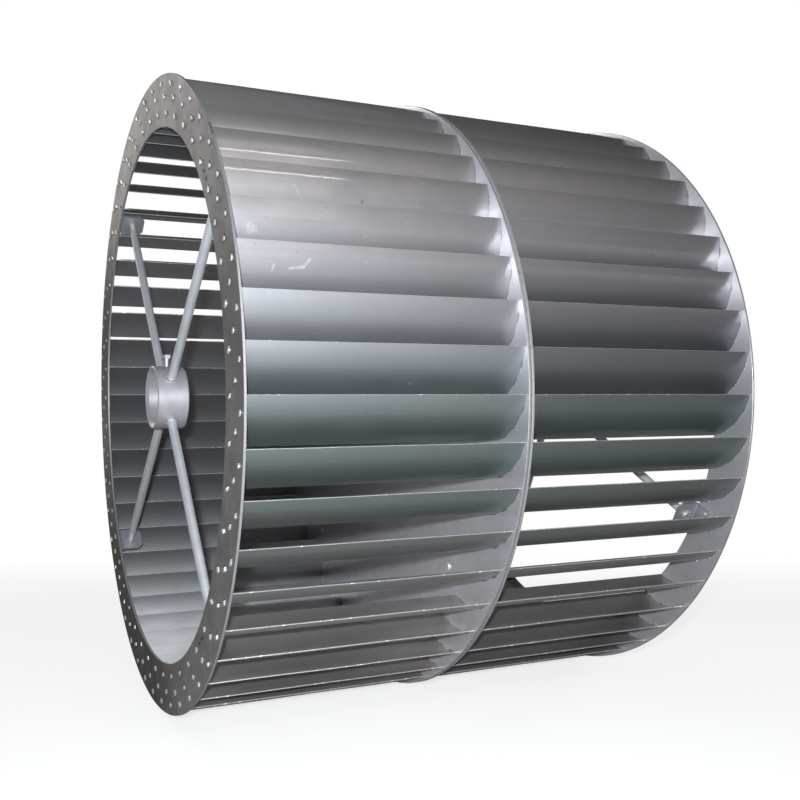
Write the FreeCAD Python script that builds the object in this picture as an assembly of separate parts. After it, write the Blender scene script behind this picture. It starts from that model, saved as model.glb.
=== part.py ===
import FreeCAD, Part
import math
import os

os.makedirs("parts", exist_ok=True)

# The wheel turns about Y and has its origin at its centre, with the near inlet towards -Y.
# Angles about the axis start at +X and grow towards +Z.
wheel_radius = 355
wheel_width = 568

# Inlet rings and the two centre discs, flat sheet
ring_width = 55
ring_sheet = 2.5
disc_sheet = 2.5
disc_seam = 1.5
disc_bore_radius = 40

# Blades, one rolled arc of sheet each
blade_count = 48
blades_per_group = 4
blade_sheet = 1.2
blade_root_inset = 0.6
blade_tip_inset = 4
blade_tip_angle = 0.66
blade_lead_angle = 8.66
blade_arc_radius = 74

# Hubs
hub_radius = 36
hub_bore_radius = 30
hub_length = 35
hub_proud = 1.5
hub_mouth_chamfer = 3.5
hub_edge_chamfer = 1
spot_face_radius = 7.5
spot_face_depth = 2.2

# Stay rods from hub to ring, four at each end
rod_count = 4
near_rod_angle = 40.75
far_rod_angle = -26.75
rod_radius = 5
rod_end_radius = 4
rod_taper_length = 60
rod_collar_radius = 5.8
rod_collar_thickness = 3.5
rod_stub_radius = 4
rod_stub_setback = 0.6
rod_tapping_depth = 12

# Brackets, one folded strip at each rod
bracket_sheet = 3
bracket_fold_radius = 1.5
bracket_leg_width = 30
bracket_leg_reach = 28
bracket_corner = 6
bracket_foot_width = 21.5
bracket_foot_length = 21
bracket_screw_clearance = 0.3

# Slotted screws through the brackets into the rod ends
screw_radius = 2.5
screw_length = 10
screw_head_radius = 6
screw_head_height = 3.6
screw_head_chamfer = 0.8
screw_slot_width = 1.6
screw_slot_depth = 1.6
screw_slot_turn = 35

# Rivets of the bracket feet
foot_rivet_radius = 2
foot_rivet_head_radius = 3.6
foot_rivet_head_height = 1.8
foot_rivet_spacing = 10.5
foot_rivet_edge = 6.5

# Rivets that join the two centre discs
disc_rivet_count = 8
disc_rivet_inset = 87
disc_rivet_angle = -44
disc_rivet_radius = 2.5
disc_rivet_head_radius = 4.2
disc_rivet_head_height = 1.4

# Set screws of the hubs
set_screw_angle = 90
set_screw_radius = 3
set_screw_stand = 13
set_screw_setback = 0.4
set_screw_head_height = 4
set_screw_flats = 10

# Places that follow from the sizes above
half_width = wheel_width / 2
ring_inner_radius = wheel_radius - ring_width
disc_rivet_circle_radius = wheel_radius - disc_rivet_inset
disc_outer_face = disc_seam / 2 + disc_sheet
blade_length = half_width - ring_sheet - disc_outer_face
hub_middle = half_width + hub_proud - hub_length / 2
flat_radius = hub_radius - spot_face_depth
leg_inner_radius = ring_inner_radius - bracket_sheet
foot_end_radius = ring_inner_radius + bracket_foot_length
foot_rivet_height = foot_end_radius - foot_rivet_edge
foot_start = bracket_leg_width / 2 - bracket_foot_width
foot_middle = bracket_leg_width / 2 - bracket_foot_width / 2


def vec(x, y, z):
    return FreeCAD.Vector(x, y, z)


centre = vec(0, 0, 0)
spin_axis = vec(0, -1, 0)


def turned(shape, angle):
    """The shape turned about the wheel's axis."""
    copy = shape.copy()
    copy.rotate(centre, spin_axis, angle)
    return copy


def mirrored(shape):
    """The same piece at the far end of the wheel."""
    return shape.mirror(centre, vec(0, 1, 0))


def polygon_face(points):
    return Part.Face(Part.makePolygon(points + points[:1]))


def radial_cylinder(radius, start, end, depth, across):
    """A round bar along +X at a place along the axis (depth) and across it."""
    return Part.makeCylinder(radius, end - start, vec(start, depth, across), vec(1, 0, 0))


def axial_cylinder(radius, start, end, out, across):
    """A round bar along +Y at a distance out from the axis."""
    return Part.makeCylinder(radius, end - start, vec(out, start, across), vec(0, 1, 0))


def save(name, solids):
    shape = solids[0] if len(solids) == 1 else Part.makeCompound(solids)
    shape.exportStep("parts/" + name + ".step")


def sheet_ring(inner_radius, sheet, face):
    """Flat annular sheet of the wheel's outer size, from the plane y = face."""
    outer = axial_cylinder(wheel_radius, face, face + sheet, 0, 0)
    return outer.cut(axial_cylinder(inner_radius, face, face + sheet, 0, 0))


def foot_rivet_places():
    """Sideways places of the two rivets in a bracket foot."""
    return [foot_middle - foot_rivet_spacing / 2, foot_middle + foot_rivet_spacing / 2]


def inlet_ring(rod_angle):
    """Near inlet ring, with the rivet holes of its four brackets."""
    ring = sheet_ring(ring_inner_radius, ring_sheet, -half_width)
    for rod in range(rod_count):
        for across in foot_rivet_places():
            hole = axial_cylinder(
                foot_rivet_radius, -half_width, -half_width + ring_sheet, foot_rivet_height, across
            )
            ring = ring.cut(turned(hole, rod_angle + rod * 360 / rod_count))
    return ring


def disc_rivet_angles():
    return [disc_rivet_angle + k * 360 / disc_rivet_count for k in range(disc_rivet_count)]


def centre_disc():
    """Near centre disc: a full plate with a clearance hole for the shaft."""
    disc = sheet_ring(disc_bore_radius, disc_sheet, -disc_outer_face)
    for angle in disc_rivet_angles():
        hole = axial_cylinder(
            disc_rivet_radius, -disc_outer_face, -disc_seam / 2, disc_rivet_circle_radius, 0
        )
        disc = disc.cut(turned(hole, angle))
    return disc


def polar(radius, angle):
    turn = math.radians(angle)
    return vec(radius * math.cos(turn), 0, radius * math.sin(turn))


def blade():
    """One forward-curved blade of the near half: an arc through its root and its tip."""
    root = polar(ring_inner_radius + blade_root_inset, blade_tip_angle - blade_lead_angle)
    tip = polar(wheel_radius - blade_tip_inset, blade_tip_angle)
    chord = tip - root
    rise = math.sqrt(blade_arc_radius ** 2 - (chord.Length / 2) ** 2)
    across = vec(-chord.z, 0, chord.x).normalize()
    bend = (root + tip) / 2 + across * rise

    def at(direction, radius):
        return bend + direction * radius

    to_root = (root - bend).normalize()
    to_tip = (tip - bend).normalize()
    to_middle = (-across).normalize()
    outside = blade_arc_radius + blade_sheet / 2
    inside = blade_arc_radius - blade_sheet / 2
    wire = Part.Wire([
        Part.Arc(at(to_root, outside), at(to_middle, outside), at(to_tip, outside)).toShape(),
        Part.LineSegment(at(to_tip, outside), at(to_tip, inside)).toShape(),
        Part.Arc(at(to_tip, inside), at(to_middle, inside), at(to_root, inside)).toShape(),
        Part.LineSegment(at(to_root, inside), at(to_root, outside)).toShape(),
    ])
    section = Part.Face(wire)
    section.translate(vec(0, -disc_outer_face - blade_length, 0))
    return section.extrude(vec(0, blade_length, 0))


def rod_angles(first):
    return [first + k * 360 / rod_count for k in range(rod_count)]


def hub(rod_angle):
    """Near hub: a turned sleeve with spot faces and tapped holes for the rods and a set screw."""
    face = -half_width - hub_proud
    back = face + hub_length
    section = polygon_face([
        vec(hub_bore_radius + hub_mouth_chamfer, face, 0),
        vec(hub_radius - hub_edge_chamfer, face, 0),
        vec(hub_radius, face + hub_edge_chamfer, 0),
        vec(hub_radius, back - hub_edge_chamfer, 0),
        vec(hub_radius - hub_edge_chamfer, back, 0),
        vec(hub_bore_radius + hub_mouth_chamfer, back, 0),
        vec(hub_bore_radius, back - hub_mouth_chamfer, 0),
        vec(hub_bore_radius, face + hub_mouth_chamfer, 0),
    ])
    body = section.revolve(centre, vec(0, 1, 0), 360)
    spot = radial_cylinder(spot_face_radius, flat_radius, hub_radius + 1, -hub_middle, 0)
    stub_hole = radial_cylinder(rod_stub_radius, hub_bore_radius - 1, hub_radius, -hub_middle, 0)
    for angle in rod_angles(rod_angle):
        body = body.cut(turned(spot, angle))
        body = body.cut(turned(stub_hole, angle))
    screw_hole = radial_cylinder(set_screw_radius, hub_bore_radius - 1, hub_radius + 1, -hub_middle, 0)
    return body.cut(turned(screw_hole, set_screw_angle))


def rod():
    """Near stay rod along +X: threaded stub, collar on the spot face, bar, and tapered end."""
    collar_end = flat_radius + rod_collar_thickness
    section = polygon_face([
        vec(hub_bore_radius + rod_stub_setback, 0, 0),
        vec(hub_bore_radius + rod_stub_setback, rod_stub_radius, 0),
        vec(flat_radius, rod_stub_radius, 0),
        vec(flat_radius, rod_collar_radius, 0),
        vec(collar_end, rod_collar_radius, 0),
        vec(collar_end, rod_radius, 0),
        vec(leg_inner_radius - rod_taper_length, rod_radius, 0),
        vec(leg_inner_radius, rod_end_radius, 0),
        vec(leg_inner_radius, screw_radius, 0),
        vec(leg_inner_radius - rod_tapping_depth, screw_radius, 0),
        vec(leg_inner_radius - rod_tapping_depth, 0, 0),
    ])
    bar = section.revolve(centre, vec(1, 0, 0), 360)
    bar.translate(vec(0, -hub_middle, 0))
    return bar


def bracket():
    """Near bracket at +X: a foot on the ring's inner face, folded to a leg that reaches inwards."""
    face = -half_width + ring_sheet
    inner = face + bracket_sheet
    fold = bracket_fold_radius
    outer_fold = bracket_fold_radius + bracket_sheet
    free = face + bracket_leg_reach
    slope = math.sqrt(0.5)
    outer_centre = vec(leg_inner_radius + outer_fold, face + outer_fold, 0)
    inner_centre = vec(ring_inner_radius + fold, inner + fold, 0)
    diagonal = vec(-slope, -slope, 0)
    corners = [
        vec(foot_end_radius, face, 0),
        vec(leg_inner_radius + outer_fold, face, 0),
        vec(leg_inner_radius, face + outer_fold, 0),
        vec(leg_inner_radius, free, 0),
        vec(ring_inner_radius, free, 0),
        vec(ring_inner_radius, inner + fold, 0),
        vec(ring_inner_radius + fold, inner, 0),
        vec(foot_end_radius, inner, 0),
    ]
    wire = Part.Wire([
        Part.LineSegment(corners[0], corners[1]).toShape(),
        Part.Arc(corners[1], outer_centre + diagonal * outer_fold, corners[2]).toShape(),
        Part.LineSegment(corners[2], corners[3]).toShape(),
        Part.LineSegment(corners[3], corners[4]).toShape(),
        Part.LineSegment(corners[4], corners[5]).toShape(),
        Part.Arc(corners[5], inner_centre + diagonal * fold, corners[6]).toShape(),
        Part.LineSegment(corners[6], corners[7]).toShape(),
        Part.LineSegment(corners[7], corners[0]).toShape(),
    ])
    half_leg = bracket_leg_width / 2
    section = Part.Face(wire)
    section.translate(vec(0, 0, -half_leg))
    strip = section.extrude(vec(0, 0, bracket_leg_width))

    blank = polygon_face([
        vec(0, face, -half_leg),
        vec(0, face, half_leg),
        vec(0, free - bracket_corner, half_leg),
        vec(0, free, half_leg - bracket_corner),
        vec(0, free, bracket_corner - half_leg),
        vec(0, free - bracket_corner, -half_leg),
    ])
    strip = strip.common(blank.extrude(vec(foot_end_radius, 0, 0)))
    beside_foot = Part.makeBox(
        bracket_foot_length, outer_fold, half_leg + foot_start,
        vec(ring_inner_radius, face, -half_leg),
    )
    strip = strip.cut(beside_foot)
    strip = strip.cut(radial_cylinder(
        screw_radius + bracket_screw_clearance, leg_inner_radius, ring_inner_radius, -hub_middle, 0
    ))
    for across in foot_rivet_places():
        strip = strip.cut(axial_cylinder(foot_rivet_radius, face, inner, foot_rivet_height, across))
    return strip


def foot_rivet(across):
    """Rivet of a near bracket foot, flush outside the ring and headed on the foot."""
    under_head = -half_width + ring_sheet + bracket_sheet
    shank = axial_cylinder(foot_rivet_radius, -half_width, under_head, foot_rivet_height, across)
    head = axial_cylinder(
        foot_rivet_head_radius, under_head, under_head + foot_rivet_head_height,
        foot_rivet_height, across,
    )
    return shank.fuse(head)


def slotted_screw(slot_turn):
    """Pan-head screw of a near bracket: head on the leg's outer side, shank in the rod's end."""
    head_end = ring_inner_radius + screw_head_height
    section = polygon_face([
        vec(ring_inner_radius - screw_length, 0, 0),
        vec(ring_inner_radius - screw_length, screw_radius, 0),
        vec(ring_inner_radius, screw_radius, 0),
        vec(ring_inner_radius, screw_head_radius, 0),
        vec(head_end - screw_head_chamfer, screw_head_radius, 0),
        vec(head_end, screw_head_radius - screw_head_chamfer, 0),
        vec(head_end, 0, 0),
    ])
    screw = section.revolve(centre, vec(1, 0, 0), 360)
    slot = Part.makeBox(
        screw_slot_depth, screw_slot_width, 2 * screw_head_radius + 2,
        vec(head_end - screw_slot_depth, -screw_slot_width / 2, -screw_head_radius - 1),
    )
    slot.rotate(centre, vec(1, 0, 0), slot_turn)
    screw = screw.cut(slot)
    screw.translate(vec(0, -hub_middle, 0))
    return screw


def set_screw():
    """Hexagon-head set screw of the near hub, before it is turned to its place."""
    head_end = hub_radius + set_screw_stand
    head_start = head_end - set_screw_head_height
    shank = radial_cylinder(
        set_screw_radius, hub_bore_radius + set_screw_setback, head_start, -hub_middle, 0
    )
    corner = set_screw_flats / math.sqrt(3)
    outline = [
        vec(
            head_start,
            -hub_middle + corner * math.cos(math.radians(60 * k)),
            corner * math.sin(math.radians(60 * k)),
        )
        for k in range(6)
    ]
    head = polygon_face(outline).extrude(vec(set_screw_head_height, 0, 0))
    return shank.fuse(head)


def disc_rivet():
    """Rivet through both centre discs and the seam between them."""
    shank = axial_cylinder(
        disc_rivet_radius, -disc_outer_face, disc_outer_face, disc_rivet_circle_radius, 0
    )
    head = axial_cylinder(
        disc_rivet_head_radius, -disc_outer_face - disc_rivet_head_height, -disc_outer_face,
        disc_rivet_circle_radius, 0,
    )
    return shank.fuse(head).fuse(mirrored(head))


def save_end(end, placed, rod_angle):
    """All pieces of one end of the wheel; placed puts a near piece where it belongs."""
    save(end + "_ring", [placed(inlet_ring(rod_angle))])
    save(end + "_disc", [placed(centre_disc())])
    save(end + "_hub", [placed(hub(rod_angle))])
    save(end + "_set_screw", [placed(turned(set_screw(), set_screw_angle))])

    screws = []
    rivets = []
    for number, angle in enumerate(rod_angles(rod_angle), start=1):
        save(end + "_rod_" + str(number), [placed(turned(rod(), angle))])
        save(end + "_bracket_" + str(number), [placed(turned(bracket(), angle))])
        screws.append(placed(turned(slotted_screw(screw_slot_turn * number), angle)))
        for across in foot_rivet_places():
            rivets.append(placed(turned(foot_rivet(across), angle)))
    save(end + "_rod_screws", screws)
    save(end + "_bracket_rivets", rivets)

    one_blade = blade()
    for group in range(blade_count // blades_per_group):
        first = group * blades_per_group
        blades = [
            placed(turned(one_blade, k * 360 / blade_count))
            for k in range(first, first + blades_per_group)
        ]
        save(end + "_blades_" + str(group + 1).zfill(2), blades)


save_end("near", lambda shape: shape, near_rod_angle)
save_end("far", mirrored, far_rod_angle)
save("disc_rivets", [turned(disc_rivet(), angle) for angle in disc_rivet_angles()])
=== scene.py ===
import math
import random

import bmesh
import bpy
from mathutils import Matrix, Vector


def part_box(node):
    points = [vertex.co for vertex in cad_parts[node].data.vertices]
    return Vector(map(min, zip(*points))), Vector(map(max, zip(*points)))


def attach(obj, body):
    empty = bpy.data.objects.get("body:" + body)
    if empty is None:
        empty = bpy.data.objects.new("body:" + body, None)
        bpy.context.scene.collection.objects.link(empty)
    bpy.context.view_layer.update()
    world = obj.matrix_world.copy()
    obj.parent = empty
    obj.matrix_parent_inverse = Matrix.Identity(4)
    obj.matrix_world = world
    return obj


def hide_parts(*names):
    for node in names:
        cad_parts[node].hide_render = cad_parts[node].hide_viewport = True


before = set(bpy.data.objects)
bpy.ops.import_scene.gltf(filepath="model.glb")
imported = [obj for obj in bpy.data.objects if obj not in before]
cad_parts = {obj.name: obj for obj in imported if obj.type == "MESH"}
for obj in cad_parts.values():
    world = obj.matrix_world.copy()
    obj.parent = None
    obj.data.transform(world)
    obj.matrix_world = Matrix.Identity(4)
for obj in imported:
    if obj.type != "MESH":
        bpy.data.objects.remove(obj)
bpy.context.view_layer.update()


# Centre discs
# Two full steel plates stand back to back with a narrow seam between their rims. They are
# punched from zinc-coated sheet, with a shaft hole in the middle and three slots for the tabs
# of every blade; the rims are left as sheared.
disc_low, disc_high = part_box("near_disc")
wheel_radius = disc_high.z
disc_bore_radius = 0.040
sheared_corner = 0.0003
plate_steps = 288
plate_coat, plate_cut, plate_slot, plate_inside = range(4)
# the two flat sides of a plate, as places in its profile
near_side, far_side = 0, 4
sharp_angle = 30

blade_count = 48
blade_sheet = 0.0012
blade_root_radius = 0.3006
blade_tip_radius = wheel_radius - 0.004
blade_tip_angle = 0.66
blade_lead_angle = 8.66
blade_arc_radius = 0.074
tab_shares = (0.19, 0.48, 0.77)
tab_width = 0.0068


def around(radius, angle):
    """A point (x, z) at a radius and an angle in degrees about the wheel's axis."""
    turn = math.radians(angle)
    return Vector((radius * math.cos(turn), radius * math.sin(turn)))


def blade_bend():
    """Centre of the blade's arc and the directions from it to the root and the tip."""
    root = around(blade_root_radius, blade_tip_angle - blade_lead_angle)
    tip = around(blade_tip_radius, blade_tip_angle)
    chord = tip - root
    rise = math.sqrt(blade_arc_radius ** 2 - (chord.length / 2) ** 2)
    centre = (root + tip) / 2 + Vector((-chord.y, chord.x)).normalized() * rise
    start = math.atan2(*reversed(root - centre))
    end = math.atan2(*reversed(tip - centre))
    return centre, start, end


bend_centre, bend_start, bend_end = blade_bend()
blade_arc_length = blade_arc_radius * (bend_end - bend_start)


def on_blade(share, off_sheet, turn=0.0):
    """A point (x, z) on a blade: share runs from root to tip, off_sheet outwards from its middle."""
    direction = bend_start + (bend_end - bend_start) * share
    reach = blade_arc_radius + off_sheet
    x = bend_centre.x + reach * math.cos(direction)
    z = bend_centre.y + reach * math.sin(direction)
    c, s = math.cos(math.radians(turn)), math.sin(math.radians(turn))
    return Vector((x * c - z * s, x * s + z * c))


def smoothed(mesh):
    """Smooth shading, with every edge beyond the sharp angle kept sharp."""
    mesh.polygons.foreach_set("use_smooth", [True] * len(mesh.polygons))
    mesh.set_sharp_from_angle(angle=math.radians(sharp_angle))


def finished(name, mesh_data, materials):
    """An object of the mesh, shaded smooth, with its materials, riding the wheel."""
    mesh = bpy.data.meshes.new(name)
    mesh_data.to_mesh(mesh)
    mesh_data.free()
    piece = bpy.data.objects.new(name, mesh)
    bpy.context.scene.collection.objects.link(piece)
    for material in materials:
        mesh.materials.append(material)
    smoothed(mesh)
    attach(piece, "root")
    return piece


def ring_of_sheet(inner, outer, near, far, clean_side):
    """Flat ring of sheet about Y with small sheared corners; the face on the clean side, if one is
    named, gets the finish of the wheel's inside."""
    c = sheared_corner
    profile = [
        (inner + c, near), (outer - c, near), (outer, near + c), (outer, far - c),
        (outer - c, far), (inner + c, far), (inner, far - c), (inner, near + c),
    ]
    shape = bmesh.new()
    loops = []
    for step in range(plate_steps):
        turn = 2 * math.pi * step / plate_steps
        loops.append([
            shape.verts.new((r * math.cos(turn), y, r * math.sin(turn))) for r, y in profile
        ])
    for step in range(plate_steps):
        here, there = loops[step], loops[(step + 1) % plate_steps]
        for k in range(len(profile)):
            after = (k + 1) % len(profile)
            face = shape.faces.new((here[k], here[after], there[after], there[k]))
            if k not in (near_side, far_side):
                face.material_index = plate_cut
            elif k == clean_side:
                face.material_index = plate_inside
            else:
                face.material_index = plate_coat
    bmesh.ops.recalc_face_normals(shape, faces=shape.faces)
    return shape


def slot_cutter(near, far, slack):
    """One object with a box for every blade tab, larger than the tab by the slack."""
    shape = bmesh.new()
    half_share = (tab_width + slack) / 2 / blade_arc_length
    half_sheet = (blade_sheet + slack) / 2
    for blade in range(blade_count):
        turn = blade * 360 / blade_count
        for middle in tab_shares:
            corners = [
                on_blade(middle - half_share, -half_sheet, turn),
                on_blade(middle + half_share, -half_sheet, turn),
                on_blade(middle + half_share, half_sheet, turn),
                on_blade(middle - half_share, half_sheet, turn),
            ]
            low = [shape.verts.new((p.x, near, p.y)) for p in corners]
            high = [shape.verts.new((p.x, far, p.y)) for p in corners]
            shape.faces.new(low)
            shape.faces.new(high[::-1])
            for k in range(4):
                shape.faces.new((low[k], high[k], high[(k + 1) % 4], low[(k + 1) % 4]))
    bmesh.ops.recalc_face_normals(shape, faces=shape.faces)
    for face in shape.faces:
        face.material_index = plate_slot
    mesh = bpy.data.meshes.new("slots")
    shape.to_mesh(mesh)
    shape.free()
    cutter = bpy.data.objects.new("slots", mesh)
    bpy.context.scene.collection.objects.link(cutter)
    return cutter


def cut_by(piece, cutter):
    """Cuts the piece with the cutter and removes the cutter."""
    for material in piece.data.materials:
        cutter.data.materials.append(material)
    cut = piece.modifiers.new("cut", "BOOLEAN")
    cut.operation = "DIFFERENCE"
    cut.solver = "MANIFOLD"
    cut.object = cutter
    graph = bpy.context.evaluated_depsgraph_get()
    mesh = bpy.data.meshes.new_from_object(piece.evaluated_get(graph))
    piece.modifiers.clear()
    old = piece.data
    piece.data = mesh
    bpy.data.meshes.remove(old)
    bpy.data.objects.remove(cutter)


def socket(node, name):
    """The input of that name which the node shows for its present data type."""
    return next(s for s in node.inputs if s.name == name and s.enabled)


def stretched_noise(nodes, links, across, along, detail, roughness=0.55):
    """Noise in the wheel's own space, with its own scale across and along the axis."""
    place = nodes.new("ShaderNodeTexCoord")
    stretch = nodes.new("ShaderNodeMapping")
    stretch.inputs["Scale"].default_value = (across, along, across)
    links.new(place.outputs["Object"], stretch.inputs["Vector"])
    noise = nodes.new("ShaderNodeTexNoise")
    noise.inputs["Scale"].default_value = 1
    noise.inputs["Detail"].default_value = detail
    noise.inputs["Roughness"].default_value = roughness
    links.new(stretch.outputs["Vector"], noise.inputs["Vector"])
    return noise.outputs["Fac"]


def spread(nodes, links, value, low, high, out_low=0, out_high=1, soft=False):
    """The value with the range low to high carried to out_low to out_high, and cut off there; soft
    eases both ends."""
    node = nodes.new("ShaderNodeMapRange")
    if soft:
        node.interpolation_type = "SMOOTHSTEP"
    node.inputs["From Min"].default_value = low
    node.inputs["From Max"].default_value = high
    node.inputs["To Min"].default_value = out_low
    node.inputs["To Max"].default_value = out_high
    links.new(value, node.inputs["Value"])
    return node.outputs["Result"]


def mixed(nodes, links, share, first, second, kind="MIX"):
    """A colour mix; share, first and second are outputs or plain values."""
    node = nodes.new("ShaderNodeMix")
    node.data_type = "RGBA"
    node.blend_type = kind
    for name, value in (("Factor", share), ("A", first), ("B", second)):
        target = socket(node, name)
        if isinstance(value, bpy.types.NodeSocket):
            links.new(value, target)
        else:
            target.default_value = value
    return next(s for s in node.outputs if s.enabled)


def shaded(nodes, links, colour, tone):
    """The colour multiplied by a grey tone."""
    grey = nodes.new("ShaderNodeCombineColor")
    for channel in ("Red", "Green", "Blue"):
        links.new(tone, grey.inputs[channel])
    return mixed(nodes, links, 1.0, colour, grey.outputs["Color"], "MULTIPLY")


def line_mark(nodes, links, start, end, width):
    """1 on a straight mark between two places on the wheel, and 0 outside its width."""
    start, end = Vector(start), Vector(end)
    run = end - start
    place = nodes.new("ShaderNodeTexCoord")
    ragged = nodes.new("ShaderNodeTexNoise")
    ragged.inputs["Scale"].default_value = 700
    links.new(place.outputs["Object"], ragged.inputs["Vector"])
    away = nodes.new("ShaderNodeVectorMath")
    away.operation = "SUBTRACT"
    away.inputs[1].default_value = start
    links.new(place.outputs["Object"], away.inputs[0])
    along = nodes.new("ShaderNodeVectorMath")
    along.operation = "DOT_PRODUCT"
    along.inputs[1].default_value = run / max(run.length_squared, 1e-9)
    links.new(away.outputs["Vector"], along.inputs[0])
    share = nodes.new("ShaderNodeClamp")
    links.new(along.outputs["Value"], share.inputs["Value"])
    nearest = nodes.new("ShaderNodeVectorMath")
    nearest.operation = "SCALE"
    nearest.inputs["Vector"].default_value = run
    links.new(share.outputs["Result"], nearest.inputs["Scale"])
    offset = nodes.new("ShaderNodeVectorMath")
    offset.operation = "DISTANCE"
    links.new(away.outputs["Vector"], offset.inputs[0])
    links.new(nearest.outputs["Vector"], offset.inputs[1])
    size = spread(nodes, links, ragged.outputs["Fac"], 0.3, 0.7, -0.7 * width, 0.7 * width)
    edge = nodes.new("ShaderNodeMath")
    edge.operation = "ADD"
    links.new(offset.outputs["Value"], edge.inputs[0])
    links.new(size, edge.inputs[1])
    return spread(nodes, links, edge.outputs["Value"], 0.6 * width, 1.4 * width, 1, 0)


def marked(nodes, links, colour, marks):
    """The colour with marks over it, each with its start, end, width, strength and tone."""
    for start, end, width, strength, tone in marks:
        drawn = spread(nodes, links, line_mark(nodes, links, start, end, width), 0, 1, 0, strength)
        colour = mixed(nodes, links, drawn, colour, (*tone, 1))
    return colour


def coated_sheet(name, tone, metal, roughness, smudge=0.03, streak=0.015, fleck=0.3, marks=()):
    """Coated rolled sheet: soft smudges, faint rolling streaks along the axis, grain, a few flecks
    and the marks of its use."""
    material = bpy.data.materials.new(name)
    material.use_nodes = True
    nodes, links = material.node_tree.nodes, material.node_tree.links
    shader = nodes["Principled BSDF"]
    shader.inputs["Metallic"].default_value = metal

    smudges = stretched_noise(nodes, links, 42, 26, 3)
    streaks = stretched_noise(nodes, links, 420, 6, 3)
    grain = stretched_noise(nodes, links, 1600, 800, 2)
    flecks = stretched_noise(nodes, links, 210, 210, 1, 0.3)

    dark = [c * (1 - smudge) for c in tone] + [1]
    light = [min(1, c * (1 + smudge)) for c in tone] + [1]
    colour = mixed(nodes, links, spread(nodes, links, smudges, 0.35, 0.65), dark, light)
    streak_tone = spread(nodes, links, streaks, 0.3, 0.7, 1 - streak, 1 + streak)
    colour = shaded(nodes, links, colour, streak_tone)
    fleck_share = spread(nodes, links, flecks, 0.76, 0.80, 0, fleck)
    colour = mixed(nodes, links, fleck_share, colour, [c * 0.4 for c in tone] + [1])
    links.new(marked(nodes, links, colour, marks), shader.inputs["Base Color"])

    smudge_rough = spread(nodes, links, smudges, 0.3, 0.7, roughness + 0.03, roughness - 0.03)
    grain_rough = spread(nodes, links, grain, 0.3, 0.7, -0.015, 0.015)
    rough = nodes.new("ShaderNodeMath")
    rough.operation = "ADD"
    links.new(smudge_rough, rough.inputs[0])
    links.new(grain_rough, rough.inputs[1])
    links.new(rough.outputs["Value"], shader.inputs["Roughness"])

    bump = nodes.new("ShaderNodeBump")
    bump.inputs["Strength"].default_value = 0.04
    bump.inputs["Distance"].default_value = 0.0002
    links.new(streaks, bump.inputs["Height"])
    links.new(bump.outputs["Normal"], shader.inputs["Normal"])
    return material


def tinted_by_height(material, stops, behind=None):
    """Paints light and shade into the base colour: multiplies it by a tone that changes with height on
    the wheel. Each stop is a height and its tone; with a tone for behind, the change is limited to the
    wheel's front half."""
    nodes, links = material.node_tree.nodes, material.node_tree.links
    colour = nodes["Principled BSDF"].inputs["Base Color"]
    place = nodes.new("ShaderNodeTexCoord")
    parts = nodes.new("ShaderNodeSeparateXYZ")
    links.new(place.outputs["Object"], parts.inputs["Vector"])
    height = spread(nodes, links, parts.outputs["Z"], -wheel_radius, wheel_radius)
    ramp = nodes.new("ShaderNodeValToRGB")
    links.new(height, ramp.inputs["Fac"])
    places = ramp.color_ramp.elements
    while len(places) < len(stops):
        places.new(1)
    for place, (level, tone) in zip(places, stops):
        place.position = (level / wheel_radius + 1) / 2
        place.color = (*tone, 1)
    tone = ramp.outputs["Color"]
    if behind:
        front = spread(nodes, links, parts.outputs["X"], 0.0, 0.15)
        tone = mixed(nodes, links, front, (*behind, 1), tone)
    first = colour.links[0].from_socket
    links.new(mixed(nodes, links, 1.0, first, tone, "MULTIPLY"), colour)


def bare_edge(name, tone, roughness, nick=0.45, painted_glint=0.0, marks=()):
    """Sheared steel edge: brighter than the coated face, with short dull nicks, tiny ridges and, where
    asked, small white points painted on as glints."""
    material = bpy.data.materials.new(name)
    material.use_nodes = True
    nodes, links = material.node_tree.nodes, material.node_tree.links
    shader = nodes["Principled BSDF"]
    shader.inputs["Metallic"].default_value = 0.6
    nicks = stretched_noise(nodes, links, 230, 230, 3)
    worn = spread(nodes, links, nicks, 0.56, 0.68, 0, nick)
    colour = mixed(nodes, links, worn, (*tone, 1), (0.18, 0.17, 0.18, 1))
    # painted glints: small white points on the edge stand for light catching it
    painted_glints = spread(nodes, links, stretched_noise(nodes, links, 190, 190, 1), 0.66, 0.70, 0, painted_glint)
    colour = mixed(nodes, links, painted_glints, colour, (1, 1, 1, 1))
    links.new(marked(nodes, links, colour, marks), shader.inputs["Base Color"])
    links.new(spread(nodes, links, nicks, 0.3, 0.7, roughness - 0.05, roughness + 0.08),
              shader.inputs["Roughness"])
    bump = nodes.new("ShaderNodeBump")
    bump.inputs["Strength"].default_value = 0.15
    bump.inputs["Distance"].default_value = 0.0002
    links.new(nicks, bump.inputs["Height"])
    links.new(bump.outputs["Normal"], shader.inputs["Normal"])
    return material


def slot_shadow():
    """Inner walls of the punched slots, dull, with painted shade: near black and uneven, so that the
    slots read as dark gaps.
    """
    material = bpy.data.materials.new("slot_painted_shade")
    material.use_nodes = True
    nodes, links = material.node_tree.nodes, material.node_tree.links
    shader = nodes["Principled BSDF"]
    shader.inputs["Metallic"].default_value = 0.5
    shader.inputs["Roughness"].default_value = 0.8
    uneven_shade = spread(nodes, links, stretched_noise(nodes, links, 300, 300, 2), 0.3, 0.7)
    links.new(mixed(nodes, links, uneven_shade, (0.03, 0.03, 0.03, 1), (0.10, 0.10, 0.11, 1)),
              shader.inputs["Base Color"])
    return material


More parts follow.
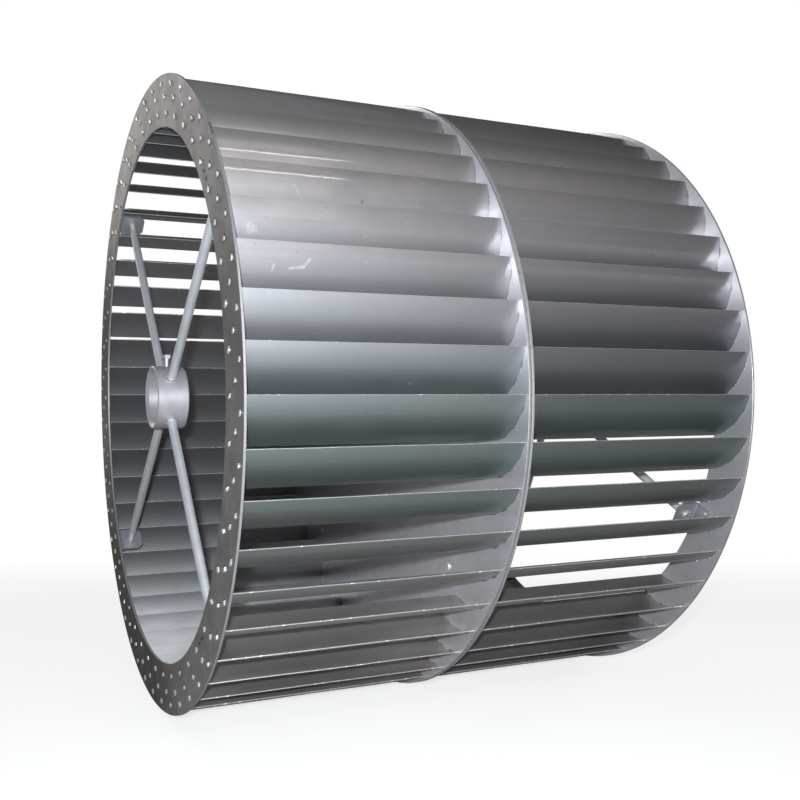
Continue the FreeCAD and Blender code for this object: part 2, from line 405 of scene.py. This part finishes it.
disc_face_zinc = coated_sheet("disc_zinc", (0.80, 0.78, 0.82), metal=0.7, roughness=0.4,
                              smudge=0.04, streak=0.01, fleck=0.1)
# Painted light and shade: the disc face is made lighter towards its top and a little darker just below
# the middle, a painted sheen from light above. The rings' inner faces share it.
tinted_by_height(disc_face_zinc, (
    (-0.30, (0.82, 0.80, 0.80)),
    (-0.02, (0.69, 0.69, 0.69)),
    (0.14, (0.96, 0.96, 0.96)),
    (0.30, (1.00, 1.00, 1.00)),
))
disc_edge = bare_edge("disc_cut_edge", (0.36, 0.355, 0.37), roughness=0.45)
slot_painted_shade = slot_shadow()


def slotted_plate(name, node, inner, face_material, edge_material, slack, clean_side=None):
    """A ring or disc of the wheel in place of its CAD node, with every tab slot punched through."""
    low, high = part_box(node)
    shape = ring_of_sheet(inner, wheel_radius, low.y, high.y, clean_side)
    piece = finished(name, shape, [face_material, edge_material, slot_painted_shade, disc_face_zinc])
    cut_by(piece, slot_cutter(low.y - punch_past, high.y + punch_past, slack))
    smoothed(piece.data)
    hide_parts(node)
    return piece


disc_slot_slack = 0.0019
punch_past = 0.001
for end in ("near", "far"):
    slotted_plate(end + "_centre_disc", end + "_disc", disc_bore_radius, disc_face_zinc, disc_edge,
                  disc_slot_slack)


# Blades
# Each blade is one strip of thin zinc-coated sheet, rolled to an arc and left as sheared at its
# root and tip. Three tabs at each end pass through slots: at the discs they end in the seam, and
# at the ring they are hammered flat on its outer face, which leaves them bright.
arc_steps = 28
length_steps = 12
edge_corner = 0.0002
blade_coat, blade_cut, blade_tab = range(3)
sheet_wave = 0.00022
sheet_wave_count = 3.1
sheet_twist = 0.6
turn_error = 0.05

tab_reach = 0.0048
tab_reach_shares = (0.68, 0.95)
tab_width_shares = (0.5, 0.88)
tab_bend = 0.0006
tab_bend_steps = 6
tab_stand = 0.00135
tab_stand_error = 0.00015
tab_skew = 0.0004
tab_corner = 0.0012
tab_lip_share = 0.75

scuff = (1.0, 1.0, 0.99)
soot = (0.16, 0.16, 0.16)
# each scratch or spot with its start, end, width, strength and tone
blade_marks = (
    ((0.2790, -0.2125, 0.1975), (0.2783, -0.2045, 0.1851), 0.0006, 0.6, scuff),
    ((0.2786, -0.1438, 0.1875), (0.2786, -0.1434, 0.1872), 0.0016, 0.5, soot),
    ((0.3198, -0.2315, 0.1154), (0.3202, -0.2186, 0.1169), 0.0012, 0.5, scuff),
    ((0.3202, -0.2186, 0.1169), (0.3218, -0.2126, 0.1241), 0.0012, 0.45, scuff),
    ((0.3203, -0.2462, 0.1172), (0.3191, -0.2470, 0.1129), 0.0010, 0.5, scuff),
    ((0.3012, -0.2612, 0.1519), (0.3030, -0.2590, 0.1500), 0.0040, 0.30, scuff),
    ((0.3227, -0.2645, 0.1348), (0.3228, -0.2642, 0.1344), 0.0012, 0.5, soot),
    ((0.3277, -0.1190, 0.0160), (0.3277, -0.1140, 0.0132), 0.0012, 0.5, scuff),
    ((0.3277, -0.1170, 0.0120), (0.3277, -0.1158, 0.0172), 0.0010, 0.4, scuff),
    ((0.2787, -0.0846, 0.1882), (0.3029, -0.0925, 0.1684), 0.0007, 0.5, scuff),
    ((0.3012, -0.1501, 0.1515), (0.3218, -0.1583, 0.1245), 0.0009, 0.3, scuff),
)
# painted light and shade on the blades' front, as heights on the wheel each with its tone: the lighter
# lowest blades stand for light bounced from the floor, the green-blue cast low down is a painted
# reflection of the floor, and the bands higher up follow where the light falls
low_painted_light = (
    (-0.30, (1.00, 0.95, 0.93)),
    (-0.22, (0.93, 0.89, 0.87)),
    (-0.16, (0.585, 0.60, 0.575)),
    (-0.05, (0.515, 0.60, 0.57)),
)
near_painted_light = low_painted_light + (
    (0.01, (0.64, 0.69, 0.71)),
    (0.06, (0.74, 0.75, 0.785)),
    (0.12, (0.59, 0.583, 0.605)),
    (0.21, (0.475, 0.467, 0.482)),
    (0.30, (0.60, 0.59, 0.61)),
)
far_painted_light = low_painted_light + (
    (0.01, (0.49, 0.53, 0.545)),
    (0.07, (0.485, 0.487, 0.515)),
    (0.15, (0.59, 0.58, 0.597)),
    (0.31, (0.63, 0.62, 0.64)),
)


def blade_zinc(name, tone, painted_light_stops):
    """The blades' zinc coat with a thin clear passivation over it, and painted light and shade that
    changes its tone down the front.
    """
    material = coated_sheet(name, tone, metal=1.0, roughness=0.57, smudge=0.05, streak=0.02,
                            fleck=0.3, marks=blade_marks)
    tinted_by_height(material, painted_light_stops, behind=(0.63, 0.63, 0.64))
    shader = material.node_tree.nodes["Principled BSDF"]
    shader.inputs["Coat Weight"].default_value = 0.6
    shader.inputs["Coat Roughness"].default_value = 0.09
    return material


# The far half's blades are the same sheet as the near half's, given a darker tone as painted shade.
blade_faces = {
    "near": blade_zinc("near_blade_zinc", (0.515, 0.515, 0.52), near_painted_light),
    "far": blade_zinc("far_blade_zinc", (0.435, 0.435, 0.44), far_painted_light),
}
blade_edge = bare_edge("blade_cut_edge", (0.45, 0.45, 0.46), roughness=0.38, painted_glint=0.9)
tab_metal = bare_edge("flattened_tab", (0.64, 0.64, 0.63), roughness=0.42, nick=0.4)


def blade_outline(turn, lift):
    """Corner points of a blade's section: its outer face root to tip, then its inner face back."""
    half = blade_sheet / 2
    corner = edge_corner / blade_arc_length
    shares = [corner] + [k / arc_steps for k in range(1, arc_steps)] + [1 - corner]
    outline = [on_blade(0, half - edge_corner + lift(0), turn)]
    outline += [on_blade(share, half + lift(share), turn) for share in shares]
    outline += [on_blade(1, half - edge_corner + lift(1), turn)]
    outline += [on_blade(1, edge_corner - half + lift(1), turn)]
    outline += [on_blade(share, lift(share) - half, turn) for share in reversed(shares)]
    outline += [on_blade(0, edge_corner - half + lift(0), turn)]
    return outline


def add_tube(shape, sections, material, edges=()):
    """A closed form through sections of (x, y, z) points; faces at the given edges are cut metal."""
    loops = [[shape.verts.new(point) for point in section] for section in sections]
    count = len(sections[0])
    for here, there in zip(loops, loops[1:]):
        for k in range(count):
            after = (k + 1) % count
            side = shape.faces.new((here[k], here[after], there[after], there[k]))
            side.material_index = blade_cut if k in edges else material
    for end in (loops[0], loops[-1][::-1]):
        shape.faces.new(end).material_index = blade_cut if edges else material


def add_blade(shape, turn, ring_y, disc_y, chance):
    """One blade from disc to ring, very slightly uneven as rolled sheet is."""
    swing, phase, twist = (chance.uniform(-1, 1) for _ in range(3))
    sections = []
    for step in range(length_steps + 1):
        along = step / length_steps
        belly = sheet_wave * math.sin(math.pi * along)
        sway = swing * math.sin(sheet_wave_count * math.pi * along + phase)

        def lift(share):
            return belly * (sway * share + sheet_twist * twist * (share - 0.5))

        y = disc_y + (ring_y - disc_y) * along
        sections.append([(p.x, y, p.y) for p in blade_outline(turn, lift)])
    faces = arc_steps
    edges = (0, faces + 1, faces + 2, faces + 3, 2 * faces + 4, 2 * faces + 5)
    add_tube(shape, sections, blade_coat, edges)


tab_corners = ((-1, -1), (-1, 1), (0, 1), (1, 1), (1, -1), (0, -1))


def add_disc_tab(shape, turn, middle, start_y, end_y):
    """A straight tab through a disc, ending in the seam between the two discs."""
    half_share = tab_width / 2 / blade_arc_length
    half = blade_sheet / 2
    sections = []
    for y in (start_y, end_y):
        points = [on_blade(middle + side * half_share, face * half, turn) for side, face in tab_corners]
        sections.append([(p.x, y, p.y) for p in points])
    add_tube(shape, sections, blade_cut)


def add_ring_tab(shape, turn, middle, start_y, face_y, outward, chance):
    """A tab through the ring, bent over at its outer face and hammered flat on it."""
    half = blade_sheet / 2
    reach = tab_reach * chance.uniform(*tab_reach_shares)
    flat = tab_stand - chance.uniform(0, tab_stand_error)
    squeeze = chance.uniform(*tab_width_shares)
    skew = chance.uniform(-tab_skew, tab_skew)
    outer_bend = tab_bend + blade_sheet
    bend_y = face_y + outward * (flat - outer_bend)
    path = [(0.0, start_y, 0.0, 0.0)]
    for step in range(tab_bend_steps + 1):
        lean = math.radians(90 / tab_bend_steps * step)
        path.append((half + tab_bend - (half + tab_bend) * math.cos(lean),
                     bend_y + outward * (half + tab_bend) * math.sin(lean), lean, 0.0))
    flat_y = bend_y + outward * (half + tab_bend)
    path.append((reach - tab_corner, flat_y, math.radians(90), 0.0))
    path.append((reach, flat_y, math.radians(90), tab_corner))
    sections = []
    for off, y, lean, narrow in path:
        section = []
        for side, face in tab_corners:
            thin = tab_lip_share if narrow else 1.0
            depth = face * half * thin
            away = off + depth * math.cos(lean)
            stand = y - outward * depth * math.sin(lean)
            wide = side * (tab_width / 2 * squeeze - narrow) + skew * off / tab_reach
            share = middle + wide / (blade_arc_radius + away) / (bend_end - bend_start)
            point = on_blade(share, away, turn)
            section.append((point.x, stand, point.y))
        sections.append(section)
    add_tube(shape, sections, blade_tab)


ring_low, ring_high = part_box("near_ring")
ring_sheet = ring_high.y - ring_low.y
disc_sheet = disc_high.y - disc_low.y
seam_reach = 0.0006
blades_per_set = 4
chance = random.Random(11)
for end, outward in (("near", -1), ("far", 1)):
    ring_inside = outward * abs(ring_high.y)
    ring_outside = outward * abs(ring_low.y)
    disc_face = outward * abs(disc_low.y)
    seam_y = disc_face - outward * (disc_sheet + seam_reach)
    for number in range(blade_count // blades_per_set):
        shape = bmesh.new()
        for blade in range(number * blades_per_set, (number + 1) * blades_per_set):
            turn = blade * 360 / blade_count + chance.uniform(-turn_error, turn_error)
            add_blade(shape, turn, ring_inside, disc_face, chance)
            for middle in tab_shares:
                add_disc_tab(shape, turn, middle, disc_face, seam_y)
                add_ring_tab(shape, turn, middle, ring_inside, ring_outside, outward, chance)
        bmesh.ops.recalc_face_normals(shape, faces=shape.faces)
        label = str(number + 1).zfill(2)
        finishes = [blade_faces[end], blade_edge, tab_metal]
        blades = finished(end + "_blade_set_" + label, shape, finishes)
        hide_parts(end + "_blades_" + label)


# Inlet rings
# One flat ring of sheet closes the blades at each inlet. It carries the same slots as the discs, with
# the hammered tab ends on its outer face, which is dull and darker than the blades, and it keeps bright
# sheared rims. Painted shade darkens that outer face further: most in a band below the top, least at
# the top and bottom, and evenly over the back half.
ring_inner_radius = 0.300
ring_slot_slack = 0.0019
ring_marks = (
    ((0.2520, -0.2840, 0.1886), (0.2702, -0.2840, 0.1929), 0.0008, 0.6, (0.42, 0.41, 0.40)),
    ((0.2463, -0.2840, 0.1687), (0.2865, -0.2840, 0.1723), 0.0009, 0.7, (0.45, 0.44, 0.42)),
)
edge_marks = (
    ((0.2488, -0.2842, 0.2532), (0.2599, -0.2842, 0.2418), 0.0016, 0.9, (0.05, 0.05, 0.05)),
)
ring_face = coated_sheet("ring_zinc", (0.37, 0.357, 0.35), metal=0.6, roughness=0.5, smudge=0.16,
                         streak=0.01, fleck=0.4, marks=ring_marks)
# Painted light and shade on the ring's outer face: darkest in a band just below the top, lighter at the
# top and bottom, and the back half in a plain darker tone.
tinted_by_height(ring_face, (
    (-0.30, (0.84, 0.79, 0.77)),
    (-0.16, (0.57, 0.57, 0.57)),
    (0.00, (0.42, 0.42, 0.42)),
    (0.085, (0.345, 0.345, 0.35)),
    (0.17, (0.235, 0.238, 0.25)),
    (0.24, (0.20, 0.20, 0.213)),
    (0.29, (0.25, 0.25, 0.262)),
    (0.32, (0.48, 0.48, 0.49)),
), behind=(0.30, 0.29, 0.28))
ring_edge = bare_edge("ring_cut_edge", (0.33, 0.325, 0.34), roughness=0.42, marks=edge_marks)
for end, clean_side in (("near", far_side), ("far", near_side)):
    slotted_plate(end + "_inlet_ring", end + "_ring", ring_inner_radius, ring_face, ring_edge,
                  ring_slot_slack, clean_side)


# Hubs
# Each hub is a short sleeve turned from steel bar and lightly plated, bored for the shaft, with a
# wide chamfer at both mouths and a spot face where every rod screws in.


def turned_steel(name, tone, metal, roughness, tool_lines):
    """Turned and plated steel: fine tool lines round the axis, a matt and almost even plating."""
    material = bpy.data.materials.new(name)
    material.use_nodes = True
    nodes, links = material.node_tree.nodes, material.node_tree.links
    shader = nodes["Principled BSDF"]
    shader.inputs["Metallic"].default_value = metal
    bloom = stretched_noise(nodes, links, 60, 60, 3)
    grain = stretched_noise(nodes, links, 1200, 1200, 2)
    dark = [c * 0.94 for c in tone] + [1]
    light = [min(1, c * 1.05) for c in tone] + [1]
    colour = mixed(nodes, links, spread(nodes, links, bloom, 0.35, 0.65), dark, light)
    colour = shaded(nodes, links, colour, spread(nodes, links, grain, 0.3, 0.7, 0.97, 1.03))
    links.new(colour, shader.inputs["Base Color"])
    links.new(spread(nodes, links, bloom, 0.3, 0.7, roughness - 0.03, roughness + 0.03),
              shader.inputs["Roughness"])
    tool = stretched_noise(nodes, links, 30, tool_lines, 2)
    bump = nodes.new("ShaderNodeBump")
    bump.inputs["Strength"].default_value = 0.08
    bump.inputs["Distance"].default_value = 0.0001
    links.new(tool, bump.inputs["Height"])
    links.new(bump.outputs["Normal"], shader.inputs["Normal"])
    return material


def dressed(node, material, corner=0.0004):
    """A CAD node kept as it is, with its material and softened corners."""
    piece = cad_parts[node]
    piece.data.materials.clear()
    piece.data.materials.append(material)
    soften = piece.modifiers.new("corners", "BEVEL")
    soften.width = corner
    soften.segments = 2
    soften.limit_method = "ANGLE"
    soften.angle_limit = math.radians(35)
    soften.harden_normals = False
    return piece


hub_steel = turned_steel("hub_steel", (0.47, 0.455, 0.48), metal=0.5, roughness=0.45, tool_lines=900)
for end in ("near", "far"):
    dressed(end + "_hub", hub_steel)


# Stay rods
# Four round bars at each end hold the ring to the hub. Each is turned with a collar that seats on
# the hub's spot face and a slimmer end that takes the bracket's screw.
rod_steel = turned_steel("rod_steel", (0.62, 0.63, 0.66), metal=0.5, roughness=0.45, tool_lines=60)
for end in ("near", "far"):
    for number in range(1, 5):
        dressed(end + "_rod_" + str(number), rod_steel)


# Brackets
# Each rod ends in a bracket folded from a short strip of the same zinc-coated sheet, riveted to
# the ring's inner face between two blades.
bracket_zinc = coated_sheet("bracket_zinc", (0.38, 0.38, 0.40), metal=0.7, roughness=0.5,
                            smudge=0.05, streak=0.01, fleck=0.2)
for end in ("near", "far"):
    for number in range(1, 5):
        dressed(end + "_bracket_" + str(number), bracket_zinc)


# Fasteners
# Slotted pan-head screws hold the rods to the brackets, rivets hold the brackets to the rings and
# the discs to each other, and a hexagon-head screw in each hub locks the shaft.
head_corner = 0.0003
screw_steel = turned_steel("screw_steel", (0.44, 0.44, 0.46), metal=0.6, roughness=0.4, tool_lines=300)
for end in ("near", "far"):
    dressed(end + "_rod_screws", screw_steel, head_corner)
    dressed(end + "_bracket_rivets", screw_steel, head_corner)
    dressed(end + "_set_screw", screw_steel, head_corner)
rivet_steel = turned_steel("rivet_steel", (0.95, 0.95, 0.95), metal=0.9, roughness=0.3, tool_lines=300)
dressed("disc_rivets", rivet_steel, head_corner)


# Floor, light and camera
# The wheel stands on its rims on a plain pale floor that runs out into white. A small lamp beside
# the camera and a broad warm one in the room light the front. Weak ones above, at the left and
# behind keep the other sides readable, and two high ones draw bright lines on the upper blades.
floor_size = 60
floor_glow = 0.74
mirrored_floor_glow = 0.03
white_floor_depth = (0.1, 1.3)
white_floor_distance = (1.6, 5)
mirrored_floor_depth = (1.5, 5.0)
mirrored_wall_facing = (0.94, 0.99)
sight_line = Vector((-0.9006, 0.4347, 0))
room_tone = (0.86, 0.92, 1.0, 1)
room_level = 0.02


def calculated(nodes, links, kind, *values):
    """A math node on outputs or plain numbers, cut off to 0 and 1."""
    node = nodes.new("ShaderNodeMath")
    node.operation = kind
    node.use_clamp = True
    for place, value in enumerate(values):
        if isinstance(value, bpy.types.NodeSocket):
            links.new(value, node.inputs[place])
        else:
            node.inputs[place].default_value = value
    return node.outputs["Value"]


def pale_floor():
    """Pale matt floor: lit by the lamps round the wheel, and white farther out."""
    material = bpy.data.materials.new("floor_paint")
    material.use_nodes = True
    material.cycles.emission_sampling = "NONE"
    nodes, links = material.node_tree.nodes, material.node_tree.links
    shader = nodes["Principled BSDF"]
    shader.inputs["Base Color"].default_value = (0.3, 0.3, 0.3, 1)
    shader.inputs["Roughness"].default_value = 0.9
    shader.inputs["Specular IOR Level"].default_value = 0.1
    place = nodes.new("ShaderNodeTexCoord")
    depth = nodes.new("ShaderNodeVectorMath")
    depth.operation = "DOT_PRODUCT"
    depth.inputs[1].default_value = sight_line
    distance = nodes.new("ShaderNodeVectorMath")
    distance.operation = "LENGTH"
    for measure in (depth, distance):
        links.new(place.outputs["Object"], measure.inputs[0])
    beyond = spread(nodes, links, depth.outputs["Value"], *white_floor_depth, soft=True)
    far_off = spread(nodes, links, distance.outputs["Value"], *white_floor_distance, soft=True)
    away = calculated(nodes, links, "MAXIMUM", beyond, far_off)
    mirror_beyond = spread(nodes, links, depth.outputs["Value"], *mirrored_floor_depth, soft=True)
    mirror_away = calculated(nodes, links, "MAXIMUM", mirror_beyond, far_off)
    path = nodes.new("ShaderNodeLightPath")
    mirrors = calculated(nodes, links, "ADD", path.outputs["Is Glossy Ray"],
                         path.outputs["Is Transmission Ray"])
    camera_glow = spread(nodes, links, away, 0, 1, floor_glow, 1, soft=True)
    camera_glow = calculated(nodes, links, "MULTIPLY", camera_glow, path.outputs["Is Camera Ray"])
    mirror_glow = spread(nodes, links, mirror_away, 0, 1, mirrored_floor_glow, 1, soft=True)
    mirror_glow = calculated(nodes, links, "MULTIPLY", mirror_glow, mirrors)
    glow = calculated(nodes, links, "ADD", camera_glow, mirror_glow)
    light = nodes.new("ShaderNodeEmission")
    links.new(glow, light.inputs["Strength"])
    lit = nodes.new("ShaderNodeAddShader")
    links.new(shader.outputs["BSDF"], lit.inputs[0])
    links.new(light.outputs["Emission"], lit.inputs[1])
    unlit = calculated(nodes, links, "MULTIPLY", away, path.outputs["Is Camera Ray"])
    plain = nodes.new("ShaderNodeMixShader")
    links.new(unlit, plain.inputs["Fac"])
    links.new(lit.outputs["Shader"], plain.inputs[1])
    links.new(light.outputs["Emission"], plain.inputs[2])
    links.new(plain.outputs["Shader"], nodes["Material Output"].inputs["Surface"])
    return material


shape = bmesh.new()
shape.faces.new([
    shape.verts.new((x * floor_size / 2, y * floor_size / 2, -wheel_radius))
    for x, y in ((-1, -1), (1, -1), (1, 1), (-1, 1))
])
floor_mesh = bpy.data.meshes.new("floor")
shape.to_mesh(floor_mesh)
shape.free()
floor_mesh.materials.append(pale_floor())
floor = bpy.data.objects.new("floor", floor_mesh)
bpy.context.scene.collection.objects.link(floor)

world = bpy.data.worlds.new("studio")
bpy.context.scene.world = world
world.use_nodes = True
nodes, links = world.node_tree.nodes, world.node_tree.links
room = nodes["Background"]
room.inputs["Color"].default_value = room_tone
room.inputs["Strength"].default_value = room_level
wall = nodes.new("ShaderNodeBackground")
wall.inputs["Color"].default_value = (1, 1, 1, 1)
wall.inputs["Strength"].default_value = 1
direction = nodes.new("ShaderNodeTexCoord")
facing = nodes.new("ShaderNodeVectorMath")
facing.operation = "DOT_PRODUCT"
facing.inputs[1].default_value = sight_line
links.new(direction.outputs["Generated"], facing.inputs[0])
behind = spread(nodes, links, facing.outputs["Value"], *mirrored_wall_facing, soft=True)
path = nodes.new("ShaderNodeLightPath")
mirrored = calculated(nodes, links, "ADD", path.outputs["Is Glossy Ray"],
                      path.outputs["Is Transmission Ray"])
mirrored = calculated(nodes, links, "MULTIPLY", mirrored, behind)
shown = calculated(nodes, links, "ADD", path.outputs["Is Camera Ray"], mirrored)
sky = nodes.new("ShaderNodeMixShader")
links.new(shown, sky.inputs["Fac"])
links.new(room.outputs["Background"], sky.inputs[1])
links.new(wall.outputs["Background"], sky.inputs[2])
links.new(sky.outputs["Shader"], nodes["World Output"].inputs["Surface"])


def soft_lamp(name, place, aim, width, height, power, colour):
    """A flat lamp with a width and a height in metres and a power in watts, facing its aim."""
    lamp = bpy.data.lights.new(name, "AREA")
    lamp.shape = "RECTANGLE"
    lamp.size = width
    lamp.size_y = height
    lamp.energy = power
    lamp.color = colour
    body = bpy.data.objects.new(name, lamp)
    body.location = place
    body.rotation_mode = "QUATERNION"
    body.rotation_quaternion = (Vector(aim) - Vector(place)).to_track_quat("-Z", "Y")
    bpy.context.scene.collection.objects.link(body)


soft_lamp("flash", place=(1.15, -0.557, 0.052), aim=(0.3, -0.1, 0.0),
          width=0.03, height=0.03, power=19.5, colour=(0.89, 0.96, 1))
soft_lamp("room_lamp", place=(2.2, 0.1, 0.7), aim=(0.2, 0.0, 0.0),
          width=1.0, height=1.0, power=8.4, colour=(1, 0.875, 0.86))
soft_lamp("left_lamp", place=(-1.6, -1.4, 0.9), aim=(0.0, -0.28, 0.2),
          width=0.6, height=0.6, power=3.6, colour=(1, 0.88, 0.84))
soft_lamp("top_lamp", place=(0.2, -0.2, 2.2), aim=(0.0, 0.0, 0.0),
          width=1.6, height=1.6, power=3.6, colour=(0.93, 1, 1))
soft_lamp("strip_lamp", place=(2.05, 0.28, 1.22), aim=(0.27, 0.0, 0.22),
          width=0.75, height=0.05, power=3.9, colour=(1, 0.985, 0.93))
soft_lamp("cream_lamp", place=(1.78, 0.22, 1.5), aim=(0.27, 0.0, 0.22),
          width=0.7, height=0.34, power=1.9, colour=(1, 0.88, 0.66))
soft_lamp("back_lamp", place=(-2.6, -0.4, 1.1), aim=(0.0, 0.0, 0.0),
          width=1.2, height=1.2, power=20, colour=(1, 0.97, 0.95))
soft_lamp("far_lamp", place=(-0.5, 2.9, 0.5), aim=(0.0, 0.28, 0.0),
          width=1.2, height=0.9, power=20, colour=(0.97, 0.98, 1))

camera_place = Vector((1.1635, -0.5302, 0.0059))
camera_yaw = 64.24
camera_pitch = -2.0
lens_mm = 45.2
sensor_mm = 36
shift_y = 0.0343
camera = bpy.data.cameras.new("camera")
camera.lens = lens_mm
camera.sensor_width = sensor_mm
camera.shift_y = shift_y
viewer = bpy.data.objects.new("camera", camera)
bpy.context.scene.collection.objects.link(viewer)
viewer.location = camera_place
viewer.rotation_euler = (math.radians(90 + camera_pitch), 0, math.radians(camera_yaw))
bpy.context.scene.camera = viewer

bpy.context.scene.view_settings.view_transform = "Standard"
